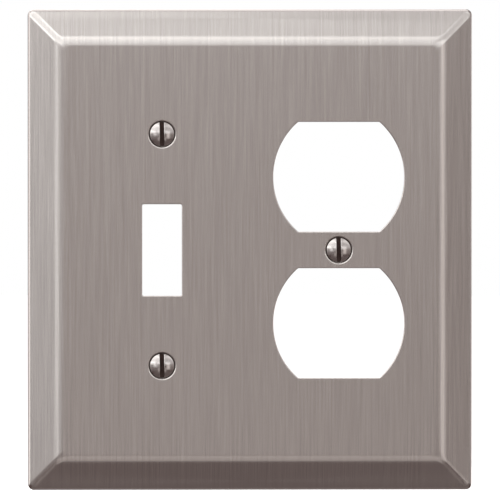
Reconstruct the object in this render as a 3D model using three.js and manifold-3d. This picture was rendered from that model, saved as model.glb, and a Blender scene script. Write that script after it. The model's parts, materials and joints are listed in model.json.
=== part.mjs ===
// A two-gang wall plate of stamped sheet steel, with its mounting screws: the left gang has the opening
// for a toggle switch, the right gang the two openings for a duplex receptacle.
// Millimetres. +X is right and +Z is up for someone facing the plate, and +Y runs into the wall.
// The origin is the plate's centre on the surface of the wall, so the plate stands out towards -Y.

import * as THREE from "three";
import { mergeVertices } from "three/addons/utils/BufferGeometryUtils.js";
import Module from "manifold-3d";

const INCH = 25.4;

// The plate's outline, with the wiring-device spacings that set it.
const GANG_PITCH = 1.8125 * INCH; // from one device's centre line to the next
const PLATE_WIDTH = 2.75 * INCH + GANG_PITCH;
const PLATE_HEIGHT = 4.9375 * INCH;
const CORNER_RADIUS = 1.6;
const TOGGLE_X = -GANG_PITCH / 2;
const RECEPTACLE_X = GANG_PITCH / 2;

// The plate's section: a flat field, a wide bevel and a short wall that meets the building's wall.
const SHEET = 0.9;
const PLATE_DEPTH = 5.7;
const BEVEL_ANGLE = THREE.MathUtils.degToRad(27);
const FIELD_INSET = 9.7; // from the outline to where the flat field starts
const RIDGE_BEND = 7; // outer radius of the bend between field and bevel
const EDGE_BEND = 1.5; // outer radius of the bend between bevel and wall
const FRONT_Y = -PLATE_DEPTH;
const BACK_Y = FRONT_Y + SHEET; // the back of the field

// The openings. Their front edges are drawn in by the punch over a small radius.
const EDGE_ROLL = 0.25;
const TOGGLE_OPENING = { width: 0.406 * INCH, height: 0.938 * INCH, corner: 0.4 };
const RECEPTACLE_OPENING = { width: 1.344 * INCH, height: 1.125 * INCH, sideRadius: 19, corner: 0.7 };
const RECEPTACLE_PITCH = 1.5 * INCH; // between the centres of the two openings

// The screw holes: dimples pressed into the sheet, so that the thin steel can take a countersunk head.
const TOGGLE_SCREW_PITCH = 2.375 * INCH;
const CONE_ANGLE = THREE.MathUtils.degToRad(82 / 2); // an 82 degree countersink, from its axis
const CONE_SLOPE = Math.tan(CONE_ANGLE);
const MOUTH_RADIUS = 3.6;
const MOUTH_ROLL = 0.4;
const HOLE_RADIUS = 2;
const DIMPLE_WALL = 0.99; // thickness of the dimple's wall, measured along the face of the plate
const DIMPLE_DEPTH = (MOUTH_RADIUS - HOLE_RADIUS) / CONE_SLOPE;

// The screws: #6-32 oval heads with a slot, half an inch long.
const HEAD_RADIUS = 3.17;
const HEAD_LAND = 0.2; // the head's straight edge, between its dome and its cone
const HEAD_GAP = 0.066; // between head and countersink, measured along the face of the plate
const DOME_HEIGHT = 1;
const SLOT_WIDTH = 1.05;
const SLOT_DEPTH = 1.35;
const SLOT_TILT = THREE.MathUtils.degToRad(-1); // the slots stand almost upright
const SCREW_LENGTH = 0.5 * INCH;
const THREAD_PITCH = INCH / 32;
const CREST_RADIUS = 1.74;
const ROOT_RADIUS = 1.28;

const HOLE_FACETS = 36;
const THREAD_FACETS = 16;
const CORNER_STEPS = 4;
const SIDE_STEPS = 14; // along each bowed side of a receptacle opening
const DOME_STEPS = 6;
const ROLL_STEPS = 3;
const RIDGE_STEPS = 6;
const EDGE_STEPS = 4;
const PAST_FACE = 1; // how far a cutter runs past the faces it opens

const COLOURS = { brushedNickel: 0x9a8d88, polishedNickel: 0xb3a6a1 };

const wasm = await Module();
wasm.setup();

// A closed geometry as a solid for joining and cutting.
function solid(geometry) {
  const bare = new THREE.BufferGeometry();
  bare.setAttribute("position", geometry.getAttribute("position"));
  bare.setIndex(geometry.getIndex());
  const merged = mergeVertices(bare, 1e-4);
  const triangles = [];
  const corners = merged.getIndex().array;
  for (let i = 0; i < corners.length; i += 3) {
    const [a, b, c] = corners.slice(i, i + 3);
    if (a !== b && b !== c && c !== a) triangles.push(a, b, c);
  }
  return new wasm.Manifold(
    new wasm.Mesh({
      numProp: 3,
      vertProperties: new Float32Array(merged.getAttribute("position").array),
      triVerts: new Uint32Array(triangles),
    }),
  );
}

// A solid as a named mesh.
function piece(name, body, material) {
  const mesh = body.getMesh();
  const geometry = new THREE.BufferGeometry();
  geometry.setAttribute("position", new THREE.BufferAttribute(mesh.vertProperties, 3));
  geometry.setIndex(new THREE.BufferAttribute(mesh.triVerts, 1));
  geometry.computeVertexNormals();
  const made = new THREE.Mesh(geometry, material);
  made.name = name;
  return made;
}

// A closed body through a stack of outlines, from front to back. Each is { points, y }, with as many
// points as the next, in X and Z and anticlockwise for someone who faces the plate.
function loft(outlines) {
  const positions = [];
  const indices = [];
  const count = outlines[0].points.length;
  for (const { points, y } of outlines) for (const p of points) positions.push(p.x, y, p.y);
  for (let ring = 0; ring + 1 < outlines.length; ring++) {
    for (let i = 0; i < count; i++) {
      const next = (i + 1) % count;
      const [a, b] = [ring * count + i, ring * count + next];
      indices.push(a, a + count, b + count, a, b + count, b);
    }
  }
  const front = THREE.ShapeUtils.triangulateShape(outlines[0].points, []);
  const back = THREE.ShapeUtils.triangulateShape(outlines.at(-1).points, []);
  const lastRing = (outlines.length - 1) * count;
  for (const [a, b, c] of front) indices.push(a, b, c);
  for (const [a, b, c] of back) indices.push(lastRing + a, lastRing + c, lastRing + b);
  const geometry = new THREE.BufferGeometry();
  geometry.setAttribute("position", new THREE.Float32BufferAttribute(positions, 3));
  geometry.setIndex(indices);
  return solid(geometry);
}

// Points on an arc, the ends included.
function arc(centre, radius, from, to, steps) {
  return Array.from({ length: steps + 1 }, (_, i) => {
    const angle = from + ((to - from) * i) / steps;
    return new THREE.Vector2(centre.x + radius * Math.cos(angle), centre.y + radius * Math.sin(angle));
  });
}

// A rectangle with round corners.
function roundedRectangle(width, height, radius) {
  const [x, y] = [width / 2 - radius, height / 2 - radius];
  const quarter = Math.PI / 2;
  return [[x, y], [-x, y], [-x, -y], [x, -y]].flatMap(([cx, cy], i) =>
    arc(new THREE.Vector2(cx, cy), radius, i * quarter, (i + 1) * quarter, CORNER_STEPS),
  );
}

// The opening for one outlet: bowed sides between a flat top and a flat bottom, with round corners.
function receptacleOutline(grow) {
  const { width, height, sideRadius, corner } = RECEPTACLE_OPENING;
  const radius = sideRadius + grow;
  const sideCentre = width / 2 - sideRadius;
  const cornerRadius = corner + grow;
  const cornerY = height / 2 - corner;
  const cornerX = sideCentre + Math.sqrt((sideRadius - corner) ** 2 - cornerY ** 2);
  const lean = Math.atan2(cornerY, cornerX - sideCentre);
  const right = [
    ...arc(new THREE.Vector2(cornerX, -cornerY), cornerRadius, -Math.PI / 2, -lean, CORNER_STEPS),
    ...arc(new THREE.Vector2(sideCentre, 0), radius, -lean, lean, SIDE_STEPS).slice(1, -1),
    ...arc(new THREE.Vector2(cornerX, cornerY), cornerRadius, lean, Math.PI / 2, CORNER_STEPS),
  ];
  return [...right, ...right.map((p) => new THREE.Vector2(-p.x, -p.y))];
}

function toggleOutline(grow) {
  const { width, height, corner } = TOGGLE_OPENING;
  return roundedRectangle(width + 2 * grow, height + 2 * grow, corner + grow);
}

// What the punch removes: the outline all the way through, flaring over the rolled edge in front.
function openingCutter(outline, x, z) {
  const rings = [{ points: outline(EDGE_ROLL), y: FRONT_Y - PAST_FACE }];
  for (let i = 0; i <= ROLL_STEPS; i++) {
    const angle = (i / ROLL_STEPS) * (Math.PI / 2);
    rings.push({
      points: outline(EDGE_ROLL * (1 - Math.sin(angle))),
      y: FRONT_Y + EDGE_ROLL * (1 - Math.cos(angle)),
    });
  }
  rings.push({ points: outline(0), y: BACK_Y + PAST_FACE });
  return loft(rings).translate([x, 0, z]);
}

// The pressed sheet before punching: rings go from the field over both bends to the wall, and back
// inside. Both surfaces share the bends' centres, which keeps the sheet's thickness even.
function pressedSheet() {
  const bevelNormal = Math.PI / 2 - BEVEL_ANGLE; // from straight outwards towards the front
  const ridge = { inset: FIELD_INSET, y: FRONT_Y + RIDGE_BEND, radius: RIDGE_BEND };
  const edge = { inset: EDGE_BEND, radius: EDGE_BEND };
  const rise = EDGE_BEND - RIDGE_BEND + (ridge.inset - edge.inset) * Math.sin(BEVEL_ANGLE);
  edge.y = ridge.y + rise / Math.cos(BEVEL_ANGLE);

  const bend = ({ inset, y, radius }, from, to, steps) =>
    Array.from({ length: steps + 1 }, (_, i) => {
      return { inset, y, radius, angle: from + ((to - from) * i) / steps };
    });
  const section = [
    ...bend(ridge, Math.PI / 2, bevelNormal, RIDGE_STEPS),
    ...bend(edge, bevelNormal, 0, EDGE_STEPS),
  ];

  const ring = (inset, y, corner) => ({
    points: roundedRectangle(PLATE_WIDTH - 2 * inset, PLATE_HEIGHT - 2 * inset, corner),
    y,
  });
  const surface = (depth) =>
    section.map(({ inset, y, radius, angle }) =>
      ring(
        inset - (radius - depth) * Math.cos(angle),
        y - (radius - depth) * Math.sin(angle),
        CORNER_RADIUS - depth,
      ),
    );
  return loft([
    ...surface(0),
    ring(0, 0, CORNER_RADIUS),
    ring(SHEET, 0, CORNER_RADIUS - SHEET),
    ...surface(SHEET).reverse(),
  ]);
}

// A turned body about an axis along Y, from [radius, y] points that start and end on the axis.
function turned(profile, facets, x, z) {
  const points = profile.map(([radius, y]) => new THREE.Vector2(radius, y));
  return solid(new THREE.LatheGeometry(points, facets)).translate([x, 0, z]);
}

// The steel that a dimple pushes out behind the field. Its cone starts halfway through the sheet.
function dimpleBoss(x, z) {
  const root = MOUTH_RADIUS + DIMPLE_WALL - (SHEET / 2) * CONE_SLOPE;
  const tip = HOLE_RADIUS + DIMPLE_WALL;
  const top = FRONT_Y + SHEET / 2;
  const bottom = FRONT_Y + DIMPLE_DEPTH;
  return turned([[0, top], [root, top], [tip, bottom], [0, bottom]], HOLE_FACETS, x, z);
}

// The countersink with its rolled mouth, and the hole below it.
function countersinkCutter(x, z) {
  const turn = Math.PI / 2 - CONE_ANGLE; // from the flat face round to the cone
  const rollRadius = MOUTH_RADIUS + MOUTH_ROLL * Math.tan(turn / 2);
  const roll = Array.from({ length: ROLL_STEPS + 1 }, (_, i) => {
    const angle = (turn * i) / ROLL_STEPS;
    return [rollRadius - MOUTH_ROLL * Math.sin(angle), FRONT_Y + MOUTH_ROLL * (1 - Math.cos(angle))];
  });
  const end = FRONT_Y + DIMPLE_DEPTH + PAST_FACE;
  const profile = [
    [0, FRONT_Y - PAST_FACE],
    [rollRadius, FRONT_Y - PAST_FACE],
    ...roll,
    [HOLE_RADIUS, FRONT_Y + DIMPLE_DEPTH],
    [HOLE_RADIUS, end],
    [0, end],
  ];
  return turned(profile, HOLE_FACETS, x, z);
}

function wallPlate() {
  const screws = screwPlaces();
  let plate = pressedSheet();
  for (const { x, z } of screws) plate = plate.add(dimpleBoss(x, z));
  for (const { x, z } of screws) plate = plate.subtract(countersinkCutter(x, z));
  plate = plate.subtract(openingCutter(toggleOutline, TOGGLE_X, 0));
  for (const side of [-1, 1]) {
    plate = plate.subtract(openingCutter(receptacleOutline, RECEPTACLE_X, (side * RECEPTACLE_PITCH) / 2));
  }
  return plate;
}

function screwPlaces() {
  return [
    { name: "toggle_screw_upper", x: TOGGLE_X, z: TOGGLE_SCREW_PITCH / 2 },
    { name: "toggle_screw_lower", x: TOGGLE_X, z: -TOGGLE_SCREW_PITCH / 2 },
    { name: "receptacle_screw", x: RECEPTACLE_X, z: 0 },
  ];
}

// A threaded rod from top to tip. Each column of points runs along the axis and starts a little further
// on than the last, so that the crest and the root follow the helix; the ends are cut square.
function threadedRod(top, tip) {
  const stations = [
    { along: 0, radius: ROOT_RADIUS },
    { along: 0.25, radius: ROOT_RADIUS },
    { along: 0.625, radius: CREST_RADIUS },
  ];
  const turns = Math.ceil((tip - top) / THREAD_PITCH) + 1;
  const rows = stations.length * turns;

  const point = (column, row) => {
    const { along, radius } = stations[row % stations.length];
    const turn = Math.floor(row / stations.length) + column / THREAD_FACETS - 1;
    const y = THREE.MathUtils.clamp(top + THREAD_PITCH * (turn + along), top, tip);
    const runout = ROOT_RADIUS + Math.min(y - top, tip - y);
    const r = Math.min(radius, runout);
    const angle = (2 * Math.PI * column) / THREAD_FACETS;
    return [r * Math.sin(angle), y, r * Math.cos(angle)];
  };

  const positions = [];
  const triangle = (...corners) => positions.push(...corners.flat());
  for (let i = 0; i < THREAD_FACETS; i++) {
    for (let row = 0; row < rows; row++) {
      const [a, b] = [point(i, row), point(i + 1, row)];
      const [c, d] = [point(i + 1, row + 1), point(i, row + 1)];
      triangle(a, b, c);
      triangle(a, c, d);
    }
    triangle([0, top, 0], point(i + 1, 0), point(i, 0));
    triangle([0, tip, 0], point(i, rows), point(i + 1, rows));
  }
  const geometry = new THREE.BufferGeometry();
  geometry.setAttribute("position", new THREE.Float32BufferAttribute(positions, 3));
  return solid(geometry);
}

// An oval-head screw on the Y axis, seated in a countersink whose mouth is at FRONT_Y.
function screw() {
  const seat = FRONT_Y + (MOUTH_RADIUS - HEAD_GAP - HEAD_RADIUS) / CONE_SLOPE; // where the cone starts
  const edge = seat - HEAD_LAND;
  const domeRadius = (HEAD_RADIUS ** 2 + DOME_HEIGHT ** 2) / (2 * DOME_HEIGHT);
  const domeCentre = edge - DOME_HEIGHT + domeRadius;
  const spread = Math.asin(HEAD_RADIUS / domeRadius);
  const dome = Array.from({ length: DOME_STEPS + 1 }, (_, i) => {
    const angle = (spread * i) / DOME_STEPS;
    return [domeRadius * Math.sin(angle), domeCentre - domeRadius * Math.cos(angle)];
  });
  const neck = seat + (HEAD_RADIUS - ROOT_RADIUS) / CONE_SLOPE;
  const stub = neck + THREAD_PITCH / 2; // a plain length inside the thread, which joins the two
  const profile = [...dome, [HEAD_RADIUS, seat], [ROOT_RADIUS, neck], [ROOT_RADIUS, stub], [0, stub]];
  const head = turned(profile, HOLE_FACETS, 0, 0);

  const slotBox = new THREE.BoxGeometry(SLOT_WIDTH, 2 * SLOT_DEPTH, 3 * HEAD_RADIUS);
  const slot = solid(slotBox).rotate([0, THREE.MathUtils.radToDeg(SLOT_TILT), 0]);
  const slotted = head.subtract(slot.translate([0, edge - DOME_HEIGHT, 0]));
  return slotted.add(threadedRod(neck, edge + SCREW_LENGTH));
}

const plateSteel = new THREE.MeshStandardMaterial({
  color: COLOURS.brushedNickel,
  roughness: 0.42,
  metalness: 1,
});
const screwSteel = new THREE.MeshStandardMaterial({
  color: COLOURS.polishedNickel,
  roughness: 0.22,
  metalness: 1,
});

const wallPlateAssembly = new THREE.Group();
wallPlateAssembly.add(piece("wall_plate", wallPlate(), plateSteel));
const screwBody = screw();
for (const { name, x, z } of screwPlaces()) {
  const mesh = piece(name, screwBody, screwSteel);
  mesh.position.set(x, 0, z);
  wallPlateAssembly.add(mesh);
}

export default wallPlateAssembly;
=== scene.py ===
"""The looks of a two-gang wall plate of brushed nickel sheet, and of its three slotted screws.

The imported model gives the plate's outline, its front and back planes and the screws' axes. The meshes
here stand for its faceted solids: they have smooth bends, rolled punch edges, pressed dimples, rounded
slots and a rolled thread. Metres; +X right and +Z up for someone facing the plate, +Y into the wall.
"""
import json
from math import asin, atan2, cos, dist, floor, pi, radians, sin, sqrt, tan

import bmesh
import bpy
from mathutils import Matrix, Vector
from mathutils.geometry import tessellate_polygon


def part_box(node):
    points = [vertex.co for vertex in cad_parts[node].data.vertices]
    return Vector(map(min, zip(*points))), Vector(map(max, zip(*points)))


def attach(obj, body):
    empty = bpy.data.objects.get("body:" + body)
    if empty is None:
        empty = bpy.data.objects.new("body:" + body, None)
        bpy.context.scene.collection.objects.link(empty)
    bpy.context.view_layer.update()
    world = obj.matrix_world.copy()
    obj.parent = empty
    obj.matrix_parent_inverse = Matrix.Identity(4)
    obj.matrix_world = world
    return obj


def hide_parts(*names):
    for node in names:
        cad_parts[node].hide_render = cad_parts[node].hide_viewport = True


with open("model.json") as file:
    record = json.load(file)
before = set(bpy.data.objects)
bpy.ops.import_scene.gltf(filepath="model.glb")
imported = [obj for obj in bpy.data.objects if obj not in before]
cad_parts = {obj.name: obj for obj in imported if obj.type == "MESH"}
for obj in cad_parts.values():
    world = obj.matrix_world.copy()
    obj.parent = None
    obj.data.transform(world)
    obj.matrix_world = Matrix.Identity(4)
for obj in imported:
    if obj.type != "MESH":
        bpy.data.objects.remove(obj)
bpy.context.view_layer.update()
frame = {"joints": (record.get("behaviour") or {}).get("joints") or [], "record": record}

MM = 0.001

# ---------------------------------------------------------------- sizes

PLATE_LOW, PLATE_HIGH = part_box("wall_plate")
PLATE_WIDTH = PLATE_HIGH.x - PLATE_LOW.x
PLATE_HEIGHT = PLATE_HIGH.z - PLATE_LOW.z
MOUNTS = {mount["name"]: Vector(mount["pos_m"]) for mount in frame["record"]["mounts"]}
FRONT_Y = MOUNTS["front_face"].y
BACK_Y = MOUNTS["toggle_device_face"].y
SHEET = BACK_Y - FRONT_Y
SCREW_AXES = {joint["child"]: Vector(joint["pos_m"]) for joint in frame["joints"]}
TOGGLE_X = SCREW_AXES["toggle_screw_upper"].x
RECEPTACLE_X = SCREW_AXES["receptacle_screw"].x

# The sheet's outline and its section from the field, over the bevel, to the rim.
CORNER_RADIUS = 1.6 * MM
FIELD_INSET = 9.7 * MM
BEVEL_ANGLE = radians(27)
RIDGE_BEND = 7 * MM
EDGE_BEND = 1.5 * MM
RIM_ROUND = 0.1 * MM

# The punched openings.
INCH = 25.4 * MM
EDGE_ROLL = 0.25 * MM
BURR_BREAK = 0.05 * MM
TOGGLE_SIZE = (0.406 * INCH, 0.938 * INCH)
TOGGLE_CORNER = 0.4 * MM
RECEPTACLE_SIZE = (1.344 * INCH, 1.125 * INCH)
RECEPTACLE_SIDE = 19 * MM
RECEPTACLE_CORNER = 0.7 * MM
RECEPTACLE_PITCH = 1.5 * INCH

# The dimples that seat the screws.
CONE_ANGLE = radians(41)
MOUTH_RADIUS = 3.6 * MM
MOUTH_ROLL = 0.4 * MM
HOLE_RADIUS = 2 * MM
DIMPLE_WALL = 0.99 * MM
DIMPLE_FILLET = 0.35 * MM

# The screws.
HEAD_RADIUS = 3.17 * MM
HEAD_LAND = 0.2 * MM
HEAD_BREAK = 0.04 * MM
DOME_HEIGHT = 1 * MM
SCREW_LENGTH = INCH / 2
SLOT_WIDTH = 1.05 * MM
SLOT_DEPTH = 1.35 * MM
SLOT_ROUND = 0.16 * MM
SLOT_TILT = radians(-1)
THREAD_PITCH = INCH / 32
CREST_RADIUS = 1.74 * MM
ROOT_RADIUS = 1.28 * MM
CREST_ROUND = 0.04 * MM
DOME_ROWS = 16
DOME_LANES = 22
SLOT_END_STEPS = 6

# Smooth shading is kept off the flats by a ring of points this close to each bend.
GUARD = 0.08 * MM
LONG_STRAIGHT = 2 * MM
SHARP_ANGLE = radians(32)


# ---------------------------------------------------------------- mesh code

class Shell:
    """A closed mesh being built. A face takes the material slot that is current when it is made."""

    def __init__(self):
        self.points = []
        self.faces = []
        self.face_slots = []
        self.slot = 0

    def ring(self, points):
        first = len(self.points)
        self.points += [Vector(p) for p in points]
        return list(range(first, len(self.points)))

    def face(self, corners):
        self.faces.append(corners)
        self.face_slots.append(self.slot)

    def strip(self, one, other, closed=True):
        """Quads between two rows of points."""
        for i in range(len(one) if closed else len(one) - 1):
            j = (i + 1) % len(one)
            self.face((one[i], one[j], other[j], other[i]))

    def tube(self, rings, start=None):
        """Quads through a list of rings, from an earlier ring if one is given. Returns both end rings."""
        rows = [self.ring(points) for points in rings]
        if start:
            rows.insert(0, start)
        for one, other in zip(rows, rows[1:]):
            self.strip(one, other)
        return rows[0], rows[-1]

    def fill(self, outer, holes):
        """A flat region with holes."""
        loops = [outer, *holes]
        flat = [i for loop in loops for i in loop]
        for triangle in tessellate_polygon([[self.points[i] for i in loop] for loop in loops]):
            self.face([flat[i] for i in triangle])

    def mesh(self, name, materials):
        mesh = bpy.data.meshes.new(name)
        mesh.from_pydata(self.points, [], self.faces)
        mesh.polygons.foreach_set("material_index", self.face_slots)
        made = bmesh.new()
        made.from_mesh(mesh)
        bmesh.ops.recalc_face_normals(made, faces=made.faces)
        made.to_mesh(mesh)
        made.free()
        mesh.shade_smooth()
        mesh.set_sharp_from_angle(angle=SHARP_ANGLE)
        for material in materials:
            mesh.materials.append(material)
        return mesh


def arc(centre, radius, start, end, steps):
    """Points on an arc, its ends included."""
    angles = [start + (end - start) * i / steps for i in range(steps + 1)]
    return [(centre[0] + radius * cos(a), centre[1] + radius * sin(a)) for a in angles]


def guarded(outline):
    """The outline with a point close to both ends of every long straight."""
    found = []
    for p, q in zip(outline, outline[1:] + outline[:1]):
        found.append(p)
        length = dist(p, q)
        if length > LONG_STRAIGHT:
            step = ((q[0] - p[0]) * GUARD / length, (q[1] - p[1]) * GUARD / length)
            found += [(p[0] + step[0], p[1] + step[1]), (q[0] - step[0], q[1] - step[1])]
    return found


def placed(outline, y, centre=(0, 0)):
    """An outline in X and Z, at one depth."""
    return [(centre[0] + x, y, centre[1] + z) for x, z in outline]


# ---------------------------------------------------------------- the plate's mesh

def rounded_rectangle(width, height, radius, steps=10):
    x, z = width / 2 - radius, height / 2 - radius
    corners = [(x, z), (-x, z), (-x, -z), (x, -z)]
    turns = [(i * pi / 2, (i + 1) * pi / 2) for i in range(4)]
    points = [p for corner, turn in zip(corners, turns) for p in arc(corner, radius, *turn, steps)]
    return guarded(points)


def toggle_outline(grow):
    width, height = TOGGLE_SIZE
    return rounded_rectangle(width + 2 * grow, height + 2 * grow, TOGGLE_CORNER + grow)


def receptacle_outline(grow):
    """Bowed sides between a flat top and a flat bottom, with round corners."""
    width, height = RECEPTACLE_SIZE
    side_centre = width / 2 - RECEPTACLE_SIDE
    corner_z = height / 2 - RECEPTACLE_CORNER
    corner_x = side_centre + sqrt((RECEPTACLE_SIDE - RECEPTACLE_CORNER) ** 2 - corner_z**2)
    lean = atan2(corner_z, corner_x - side_centre)
    corner = RECEPTACLE_CORNER + grow
    right = arc((corner_x, -corner_z), corner, -pi / 2, -lean, 8)
    right += arc((side_centre, 0), RECEPTACLE_SIDE + grow, -lean, lean, 48)[1:-1]
    right += arc((corner_x, corner_z), corner, lean, pi / 2, 8)
    return guarded(right + [(-x, -z) for x, z in right])


def opening_rings(outline, centre):
    """From the front of the field, over the rolled edge and through the sheet, to its back."""
    rings = [placed(outline(EDGE_ROLL + GUARD), FRONT_Y, centre)]
    for out, down in arc((0, 0), EDGE_ROLL, pi / 2, pi, 7):
        rings.append(placed(outline(EDGE_ROLL + out), FRONT_Y + EDGE_ROLL - down, centre))
    rings.append(placed(outline(0), BACK_Y - BURR_BREAK, centre))
    rings.append(placed(outline(BURR_BREAK), BACK_Y, centre))
    rings.append(placed(outline(BURR_BREAK + GUARD), BACK_Y, centre))
    return rings


def circle_ring(radius, y, centre, facets=80):
    return placed(arc((0, 0), radius, 0, 2 * pi * (1 - 1 / facets), facets - 1), y, centre)


def dimple_profile():
    """(radius, y) over the mouth from the front of the field, down the countersink, and back up behind."""
    turn = pi / 2 - CONE_ANGLE
    slope = tan(CONE_ANGLE)
    bottom = FRONT_Y + (MOUTH_RADIUS - HOLE_RADIUS) / slope
    roll = MOUTH_RADIUS + MOUTH_ROLL * tan(turn / 2)
    root = MOUTH_RADIUS + DIMPLE_WALL - SHEET * slope + DIMPLE_FILLET * tan(turn / 2)
    tip = HOLE_RADIUS + DIMPLE_WALL
    front = bend_down(roll, FRONT_Y, MOUTH_ROLL, turn, 10)
    back = bend_down(root, BACK_Y, DIMPLE_FILLET, turn, 6)
    edge = [(HOLE_RADIUS, bottom), (tip - BURR_BREAK, bottom), (tip, bottom - BURR_BREAK)]
    return [(roll + GUARD, FRONT_Y), *front], edge, [*reversed(back), (root + GUARD, BACK_Y)]


def bend_down(start, y, radius, turn, steps):
    """(radius, y) inwards from a flat at y, round a bend into the sheet."""
    angles = [turn * i / steps for i in range(steps + 1)]
    return [(start - radius * sin(a), y + radius * (1 - cos(a))) for a in angles]


def sheet_section(depth):
    """(inset, y) on the surface this deep in the sheet, from the field over both bends to the rim."""
    ridge = (FIELD_INSET, FRONT_Y + RIDGE_BEND)
    rise = EDGE_BEND - RIDGE_BEND + (FIELD_INSET - EDGE_BEND) * sin(BEVEL_ANGLE)
    edge = (EDGE_BEND, ridge[1] + rise / cos(BEVEL_ANGLE))
    bevel = -pi / 2 - BEVEL_ANGLE
    field_side = arc(ridge, RIDGE_BEND - depth, -pi / 2, bevel, 18)
    rim_side = arc(edge, EDGE_BEND - depth, bevel, -pi, 12)
    along = (-cos(BEVEL_ANGLE) * GUARD, sin(BEVEL_ANGLE) * GUARD)
    bevel_start = (field_side[-1][0] + along[0], field_side[-1][1] + along[1])
    bevel_end = (rim_side[0][0] - along[0], rim_side[0][1] - along[1])
    start = (FIELD_INSET + GUARD, FRONT_Y + depth)
    return [start, *field_side, bevel_start, bevel_end, *rim_side]


def sheet_rings(section, corner):
    """Rings round the plate at each (inset, y)."""
    return [
        placed(rounded_rectangle(PLATE_WIDTH - 2 * inset, PLATE_HEIGHT - 2 * inset, corner), y)
        for inset, y in section
    ]


def pressed_dimple(shell, centre):
    """A dimple, brushed on its mouth only. Returns its rings in the field's front and back."""
    front, last = None, None
    for slot, profile in zip((0, 2, 1), dimple_profile()):
        shell.slot = slot
        first, last = shell.tube([circle_ring(radius, y, centre) for radius, y in profile], last)
        front = front or first
    return front, last


def plate_mesh(front_finish, back_finish, dimple_finish):
    shell = Shell()
    rim_outside = [(0, -RIM_ROUND), *arc((RIM_ROUND, -RIM_ROUND), RIM_ROUND, pi, pi / 2, 4)[1:]]
    rim_inside = arc((SHEET - RIM_ROUND, -RIM_ROUND), RIM_ROUND, pi / 2, 0, 4)
    front_rings = sheet_rings([*sheet_section(0), *rim_outside], CORNER_RADIUS)
    back_rings = sheet_rings([*rim_inside, *reversed(sheet_section(SHEET))], CORNER_RADIUS - SHEET)

    front_edge, rim = shell.tube(front_rings)
    shell.slot = 1
    back_edge = shell.tube(back_rings, rim)[1]

    shell.slot = 0
    outlets = [(RECEPTACLE_X, side * RECEPTACLE_PITCH / 2) for side in (1, -1)]
    holes = [shell.tube(opening_rings(toggle_outline, (TOGGLE_X, 0)))]
    holes += [shell.tube(opening_rings(receptacle_outline, centre)) for centre in outlets]
    holes += [pressed_dimple(shell, (axis.x, axis.z)) for axis in SCREW_AXES.values()]
    mouths, backs = zip(*holes)
    shell.slot = 0
    shell.fill(front_edge, mouths)
    shell.slot = 1
    shell.fill(back_edge, backs)
    return shell.mesh("plate_sheet", [front_finish, back_finish, dimple_finish])


# ---------------------------------------------------------------- the screws' mesh

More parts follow.
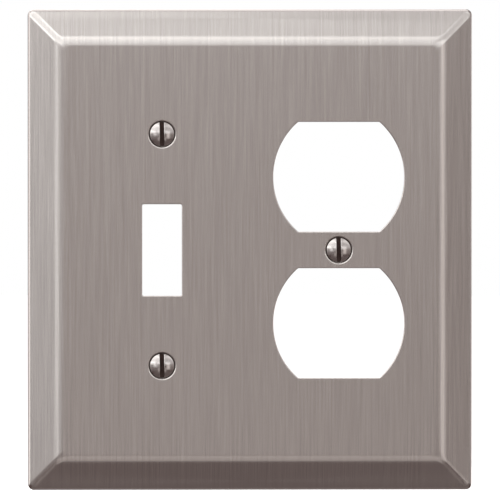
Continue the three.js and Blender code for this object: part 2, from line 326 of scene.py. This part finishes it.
def screw_mesh(finish, painted_shade_finish):
    """An oval-head screw on the Y axis. The dome and the rounded edges of its slot are one surface turned
    about the line through the dome's centre that runs across the slot, trimmed to the head's outline."""
    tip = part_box("toggle_screw_upper")[1].y
    slope = tan(CONE_ANGLE)
    edge = tip - SCREW_LENGTH
    top = edge - DOME_HEIGHT
    seat = edge + HEAD_LAND
    floor_y = top + SLOT_DEPTH
    floor_radius = HEAD_RADIUS - (floor_y - seat) * slope
    neck = seat + (HEAD_RADIUS - ROOT_RADIUS) / slope
    half_slot = SLOT_WIDTH / 2
    trim = HEAD_RADIUS - HEAD_BREAK

    # (across, out from the turning line), from the slot's wall over its rounded edge and the dome
    dome = (HEAD_RADIUS**2 + DOME_HEIGHT**2) / (2 * DOME_HEIGHT)
    centre_y = top + dome
    round_across = half_slot + SLOT_ROUND
    round_out = sqrt((dome - SLOT_ROUND) ** 2 - round_across**2)
    profile = arc((round_across, round_out), SLOT_ROUND, pi, atan2(round_out, round_across), 7)
    start = profile[-1][0]
    for i in range(1, DOME_ROWS + 1):
        across = start + (trim - start) * sin(pi / 2 * i / DOME_ROWS)
        profile.append((across, sqrt(dome**2 - across**2)))

    shell = Shell()
    lanes = [i / DOME_LANES for i in range(-DOME_LANES, DOME_LANES + 1)]
    rims = []
    walls = []
    for side in (1, -1):
        rows = []
        for across, out in profile[:-1]:
            spread = asin(sqrt(trim**2 - across**2) / out)
            rows.append(shell.ring([
                (side * across, centre_y - out * cos(spread * t), out * sin(spread * t)) for t in lanes
            ]))
        for one, other in zip(rows, rows[1:]):
            shell.strip(one, other, closed=False)
        pole = shell.ring([(side * trim, centre_y - profile[-1][1], 0)])[0]
        for one, other in zip(rows[-1], rows[-1][1:]):
            shell.face((one, other, pole))
        upper = [row[-1] for row in rows]
        lower = [row[0] for row in rows]
        rims.append([*upper, pole, *reversed(lower)])
        walls.append(rows[0])

    def at_radius(index, radius, y):
        """A rim point moved to another radius: the slot's walls stay flat, and the rest keeps its order."""
        point = shell.points[index]
        share = (abs(point.x) - half_slot) / (trim - half_slot)
        across = half_slot + share * (radius - half_slot)
        along = sqrt(max(radius**2 - across**2, 0))
        return (across if point.x > 0 else -across, y, along if point.z > 0 else -along)

    floor_sides = []
    for rim, wall in zip(rims, walls):
        rounded = shell.ring([
            at_radius(i, HEAD_RADIUS, shell.points[i].y + min(HEAD_BREAK, (seat - shell.points[i].y) / 2))
            for i in rim
        ])
        seated = shell.ring([at_radius(i, HEAD_RADIUS, seat) for i in rim])
        lowest = shell.ring([at_radius(i, floor_radius, floor_y) for i in rim])
        shell.strip(rim, rounded, closed=False)
        # the head's edge and the cone under it take the painted shade finish
        shell.slot = 1
        shell.strip(rounded, seated, closed=False)
        shell.strip(seated, lowest, closed=False)
        ends = [(row[0], row[-1]) for row in (rounded, seated, lowest)]
        upper_end = [pair[0] for pair in ends]
        lower_end = [pair[1] for pair in ends]
        shell.face([*wall, *upper_end, *reversed(lower_end)])
        shell.slot = 0
        floor_sides.append(lowest)

    # the slot's floor, which ends on the cone, and the whole ring round it
    right, left = floor_sides
    lean = asin(half_slot / floor_radius)
    swing = [lean * (1 - 2 * i / SLOT_END_STEPS) for i in range(1, SLOT_END_STEPS)]
    bottom_arc = shell.ring([(floor_radius * sin(a), floor_y, -floor_radius * cos(a)) for a in swing])
    top_arc = shell.ring([(-floor_radius * sin(a), floor_y, floor_radius * cos(a)) for a in swing])
    # the slot's floor takes the painted shade finish too
    shell.slot = 1
    shell.face([right[0], right[-1], *bottom_arc, left[-1], left[0], *top_arc])
    shell.slot = 0
    whole = [*right, *bottom_arc, *reversed(left), *top_arc]

    # clockwise for someone facing the head, as the thread runs back
    turned = [atan2(shell.points[i].x, shell.points[i].z) % (2 * pi) for i in whole]
    thread_rows = threaded_rows(turned, neck, tip)
    last = shell.tube(thread_rows, whole)[1]
    middle = shell.ring([(0, tip, 0)])[0]
    for i, j in zip(last, last[1:] + last[:1]):
        shell.face((i, j, middle))
    made = shell.mesh("screw_steel", [finish, painted_shade_finish])
    turn_about_y(made, SLOT_TILT)
    return made


def threaded_rows(angles, top, tip):
    """Rings along a right-hand thread, each a little further on with its angle, cut square at both ends."""
    stations = [
        (0, ROOT_RADIUS),
        (0.2, ROOT_RADIUS),
        (0.5, CREST_RADIUS - CREST_ROUND),
        (0.54, CREST_RADIUS),
        (0.66, CREST_RADIUS),
        (0.7, CREST_RADIUS - CREST_ROUND),
    ]
    turns = floor((tip - top) / THREAD_PITCH) + 2
    rows = []
    for row in range(len(stations) * turns + 1):
        along, radius = stations[row % len(stations)]
        ring = []
        for angle in angles:
            turn = row // len(stations) + angle / (2 * pi) - 1
            y = min(max(top + THREAD_PITCH * (turn + along), top), tip)
            r = min(radius, ROOT_RADIUS + min(y - top, tip - y))
            ring.append((r * sin(angle), y, r * cos(angle)))
        rows.append(ring)
    return rows


def turn_about_y(mesh, angle):
    for vertex in mesh.vertices:
        x, y, z = vertex.co
        vertex.co = (x * cos(angle) + z * sin(angle), y, z * cos(angle) - x * sin(angle))


# ---------------------------------------------------------------- materials

def new_material(name):
    material = bpy.data.materials.new(name)
    material.use_nodes = True
    return material, material.node_tree, material.node_tree.nodes["Principled BSDF"]


def add_node(tree, kind, **values):
    """A node with its sockets, or else its settings, set by name."""
    made = tree.nodes.new("ShaderNode" + kind)
    for name, value in values.items():
        socket = made.inputs.get(name.replace("_", " "))
        if socket is None:
            setattr(made, name, value)
        else:
            socket.default_value = value
    return made


def noise(tree, per_mm, detail=2.0, roughness=0.5, offset=(0, 0, 0)):
    """Noise with this many features to the millimetre along X, Y and Z. Returns its value's socket."""
    place = add_node(tree, "TexCoord").outputs["Object"]
    scaled = add_node(tree, "Mapping", Scale=[n / MM for n in per_mm], Location=offset)
    pattern = add_node(tree, "TexNoise", Scale=1.0, Detail=detail, Roughness=roughness)
    tree.links.new(place, scaled.inputs["Vector"])
    tree.links.new(scaled.outputs["Vector"], pattern.inputs["Vector"])
    return pattern.outputs["Fac"]


def remap(tree, value, low, high, from_low=0.3, from_high=0.7):
    """The noise's usual range spread over another one."""
    node = add_node(tree, "MapRange", From_Min=from_low, From_Max=from_high, To_Min=low, To_Max=high)
    tree.links.new(value, node.inputs["Value"])
    return node.outputs["Result"]


def maths(tree, operation, one, other):
    node = tree.nodes.new("ShaderNodeMath")
    node.operation = operation
    for socket, value in zip(node.inputs, (one, other)):
        if isinstance(value, (int, float)):
            socket.default_value = value
        else:
            tree.links.new(value, socket)
    return node.outputs["Value"]


def tinted(tree, value, dark, light):
    """A colour between two, by a value from 0 to 1."""
    mix = tree.nodes.new("ShaderNodeMix")
    mix.data_type = "RGBA"
    tree.links.new(value, mix.inputs["Factor"])
    colours = [socket for socket in mix.inputs if socket.type == "RGBA"]
    colours[0].default_value = (*dark, 1)
    colours[1].default_value = (*light, 1)
    return next(socket for socket in mix.outputs if socket.type == "RGBA")


def bumped(tree, shader, height, distance):
    bump = add_node(tree, "Bump", Strength=1.0, Distance=distance)
    tree.links.new(height, bump.inputs["Height"])
    tree.links.new(bump.outputs["Normal"], shader.inputs["Normal"])


def brushed_nickel():
    """Satin nickel with long brush strokes along Z, which spread its reflections sideways."""
    material, tree, shader = new_material("brushed_nickel")
    fine = noise(tree, (4, 0.05, 0.05), detail=3, roughness=0.7)
    medium = noise(tree, (1.3, 0.02, 0.025), detail=2, offset=(31, 7, 3))
    broad = noise(tree, (0.35, 0.01, 0.012), detail=2, offset=(11, 2, 17))
    strokes = maths(tree, "ADD", maths(tree, "MULTIPLY", fine, 0.85), maths(tree, "MULTIPLY", medium, 0.1))
    strokes = maths(tree, "ADD", strokes, maths(tree, "MULTIPLY", broad, 0.05))
    shade = remap(tree, strokes, 0, 1, 0.3, 0.7)
    colour = tinted(tree, shade, (0.54, 0.5, 0.481), (0.66, 0.618, 0.595))
    tree.links.new(colour, shader.inputs["Base Color"])
    tree.links.new(remap(tree, medium, 0.23, 0.27), shader.inputs["Roughness"])
    shader.inputs["Metallic"].default_value = 1
    shader.inputs["Anisotropic"].default_value = 0.6
    tangent = add_node(tree, "Tangent", direction_type="RADIAL", axis="Z")
    tree.links.new(tangent.outputs["Tangent"], shader.inputs["Tangent"])
    bumped(tree, shader, fine, 0.9e-6)
    return material


def plain_back():
    """The unbrushed side: dull plating over rolled sheet, with faint drawing marks."""
    material, tree, shader = new_material("plated_back")
    cloud = noise(tree, (0.06, 0.06, 0.09), detail=5, roughness=0.6)
    grain = noise(tree, (6, 6, 1.2), detail=3)
    colour = tinted(tree, remap(tree, cloud, 0, 1), (0.50, 0.475, 0.45), (0.60, 0.57, 0.54))
    tree.links.new(colour, shader.inputs["Base Color"])
    tree.links.new(remap(tree, grain, 0.42, 0.58), shader.inputs["Roughness"])
    shader.inputs["Metallic"].default_value = 1
    bumped(tree, shader, grain, 3e-6)
    return material


def dimple_plating():
    """The countersinks, which the brush does not reach."""
    material, tree, shader = new_material("dimple_plating")
    cloud = noise(tree, (1.2, 1.2, 1.2), detail=4, roughness=0.6)
    colour = tinted(tree, remap(tree, cloud, 0, 1), (0.42, 0.38, 0.36), (0.52, 0.48, 0.455))
    tree.links.new(colour, shader.inputs["Base Color"])
    tree.links.new(remap(tree, cloud, 0.26, 0.36), shader.inputs["Roughness"])
    shader.inputs["Metallic"].default_value = 1
    bumped(tree, shader, cloud, 4e-6)
    return material


def polished_nickel():
    """The screws: smooth plating with a little handling wear."""
    material, tree, shader = new_material("polished_nickel")
    wear = noise(tree, (1.1, 1.1, 1.1), detail=6, roughness=0.65)
    scratches = noise(tree, (9, 3, 1.2), detail=3)
    colour = tinted(tree, remap(tree, wear, 0, 1), (0.47, 0.43, 0.415), (0.56, 0.515, 0.50))
    tree.links.new(colour, shader.inputs["Base Color"])
    tree.links.new(remap(tree, wear, 0.18, 0.25), shader.inputs["Roughness"])
    shader.inputs["Metallic"].default_value = 1
    bumped(tree, shader, scratches, 1.5e-6)
    return material


def slot_painted_shade():
    """The slot and the edge of the head: rough, with a near-black colour that is painted shade for the
    shade in the slot and in the gap round the head.
    """
    material, tree, shader = new_material("slot_painted_shade")
    mottle = noise(tree, (2.5, 2.5, 0.8), detail=5, roughness=0.6)
    # painted shade: near-black tones for the shade in the slot and round the head's edge, varied at random
    colour = tinted(tree, remap(tree, mottle, 0, 1), (0.03, 0.018, 0.016), (0.08, 0.052, 0.046))
    tree.links.new(colour, shader.inputs["Base Color"])
    tree.links.new(remap(tree, mottle, 0.45, 0.6), shader.inputs["Roughness"])
    shader.inputs["Metallic"].default_value = 0.9
    bumped(tree, shader, mottle, 8e-6)
    return material


# ---------------------------------------------------------------- pieces

def add_object(name, data):
    made = bpy.data.objects.new(name, data)
    bpy.context.scene.collection.objects.link(made)
    return made


def add_plate():
    plate = add_object("plate_sheet", plate_mesh(brushed_nickel(), plain_back(), dimple_plating()))
    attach(plate, "plate")
    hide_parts("wall_plate")


def add_screws():
    # the slot and the head's edge are coloured with painted shade
    mesh = screw_mesh(polished_nickel(), slot_painted_shade())
    for node, axis in SCREW_AXES.items():
        screw = add_object(node + "_steel", mesh)
        screw.location = (axis.x, 0, axis.z)
        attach(screw, node)
        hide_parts(node)


# ---------------------------------------------------------------- studio

CAMERA_DISTANCE = 2.5
CAMERA_AZIMUTH = -1.5
CAMERA_ELEVATION = 1
AIM = Vector((0.03, 0, -0.11)) * MM
PICTURE_WIDTH = 130.48 * MM  # what the picture takes in at the plate's rim
SENSOR_WIDTH = 36
LIGHT_DISTANCE = 1.5
POWER_PER_RADIANCE = 4  # of a softbox, for each square metre of it
WARM = (1.0, 0.98, 0.95)
COOL = (0.96, 1.0, 1.0)
FLOOR_DROP = 60 * MM
BACKDROP_RADIUS = 5.0


def direction(azimuth, elevation):
    """A unit vector. Azimuth 0 is in front of the plate, towards -Y, and turns towards +X."""
    a, e = radians(azimuth), radians(elevation)
    return Vector((sin(a) * cos(e), -cos(a) * cos(e), sin(e)))


def add_camera():
    camera = add_object("camera", bpy.data.cameras.new("camera"))
    back = direction(CAMERA_AZIMUTH, CAMERA_ELEVATION)
    camera.location = AIM + back * CAMERA_DISTANCE
    camera.rotation_euler = (-back).to_track_quat("-Z", "Y").to_euler()
    camera.data.sensor_width = SENSOR_WIDTH
    camera.data.lens = SENSOR_WIDTH * CAMERA_DISTANCE / PICTURE_WIDTH
    camera.data.clip_start = 0.05
    camera.data.clip_end = 20
    bpy.context.scene.camera = camera


def softbox(name, azimuth, elevation, size, radiance, colour=(1, 1, 1)):
    """A rectangular light that reflections show and the camera does not. Its size is in degrees."""
    width, height = (2 * LIGHT_DISTANCE * tan(radians(angle / 2)) for angle in size)
    light = bpy.data.lights.new(name, "AREA")
    light.shape = "RECTANGLE"
    light.size, light.size_y = width, height
    light.energy = POWER_PER_RADIANCE * width * height * radiance
    light.color = colour
    box = add_object(name, light)
    towards = direction(azimuth, elevation)
    box.location = towards * LIGHT_DISTANCE
    box.rotation_euler = towards.to_track_quat("Z", "Y").to_euler()
    box.visible_camera = False


def add_lights():
    """Soft studio light: strongest from the upper left, weaker to the right, least from below."""
    softbox("key", -40, 31, (60, 42), 1.05, COOL)
    softbox("key_low", -58, 12, (40, 12), 1.1, COOL)
    softbox("top", 0, 30, (20, 24), 0.9, COOL)
    softbox("top_low", 10, 12, (70, 12), 0.7, COOL)
    softbox("top_high", 0, 56, (130, 24), 0.45, COOL)
    softbox("top_left", -45, 56, (50, 24), 0.4, COOL)
    softbox("fill", 45, 28, (60, 44), 0.55, COOL)
    softbox("left", -45, -1, (70, 14), 0.35, COOL)
    softbox("left_strip", -37, 0, (14, 14), 0.7, COOL)
    softbox("right", 50, -8, (70, 28), 0.17, WARM)
    softbox("right_strip", 35, -8, (16, 28), 0.6, WARM)
    softbox("front", 0, -7, (20, 24), 0.28, WARM)
    softbox("front_low", 0, -27, (44, 20), 0.35, WARM)
    softbox("left_low", -45, -17, (60, 18), 0.15)
    softbox("below", 10, -55, (90, 40), 0.07)
    softbox("below_back", 180, -75, (70, 50), 0.15)
    softbox("zenith", 0, 76, (80, 28), 0.4, COOL)
    softbox("overhead", 180, 70, (70, 50), 0.9)
    softbox("side_left", -100, 10, (50, 60), 1)
    softbox("side_right", 100, 10, (50, 60), 0.2)
    softbox("rear_left", 205, 35, (50, 40), 1.2)
    softbox("rear_right", 150, -5, (70, 50), 0.7)


def add_world():
    """A dim warm room, darker below."""
    world = bpy.data.worlds.new("room")
    world.use_nodes = True
    tree = world.node_tree
    place = add_node(tree, "TexCoord").outputs["Generated"]
    split = add_node(tree, "SeparateXYZ")
    tree.links.new(place, split.inputs["Vector"])
    height = remap(tree, split.outputs["Z"], 0, 1, -0.4, 0.7)
    colour = tinted(tree, height, (0.11, 0.075, 0.07), (0.14, 0.1, 0.095))
    tree.links.new(colour, tree.nodes["Background"].inputs["Color"])
    bpy.context.scene.world = world


def add_stage():
    """A white floor and, all round it, a white backdrop that only the camera sees."""
    floor_mesh = bpy.data.meshes.new("floor")
    reach = BACKDROP_RADIUS
    corners = [(-reach, -reach, 0), (reach, -reach, 0), (reach, reach, 0), (-reach, reach, 0)]
    floor_mesh.from_pydata(corners, [], [(0, 1, 2, 3)])
    ground = add_object("floor", floor_mesh)
    ground.location.z = PLATE_LOW.z - FLOOR_DROP
    ground.visible_glossy = False
    pale, _, shader = new_material("pale_floor")
    shader.inputs["Base Color"].default_value = (0.9, 0.9, 0.9, 1)
    shader.inputs["Roughness"].default_value = 0.9
    shader.inputs["Emission Color"].default_value = (1, 1, 1, 1)
    shader.inputs["Emission Strength"].default_value = 1
    floor_mesh.materials.append(pale)

    dome_mesh = bpy.data.meshes.new("backdrop")
    dome = bmesh.new()
    bmesh.ops.create_icosphere(dome, subdivisions=3, radius=BACKDROP_RADIUS)
    dome.to_mesh(dome_mesh)
    dome.free()
    backdrop = add_object("backdrop", dome_mesh)
    white, _, shader = new_material("white_backdrop")
    shader.inputs["Base Color"].default_value = (0, 0, 0, 1)
    shader.inputs["Specular IOR Level"].default_value = 0
    shader.inputs["Emission Color"].default_value = (1, 1, 1, 1)
    shader.inputs["Emission Strength"].default_value = 1
    dome_mesh.materials.append(white)
    for ray in ("diffuse", "glossy", "transmission", "volume_scatter", "shadow"):
        setattr(backdrop, "visible_" + ray, False)


add_plate()
add_screws()
add_camera()
add_lights()
add_world()
add_stage()
bpy.context.scene.view_settings.view_transform = "Standard"
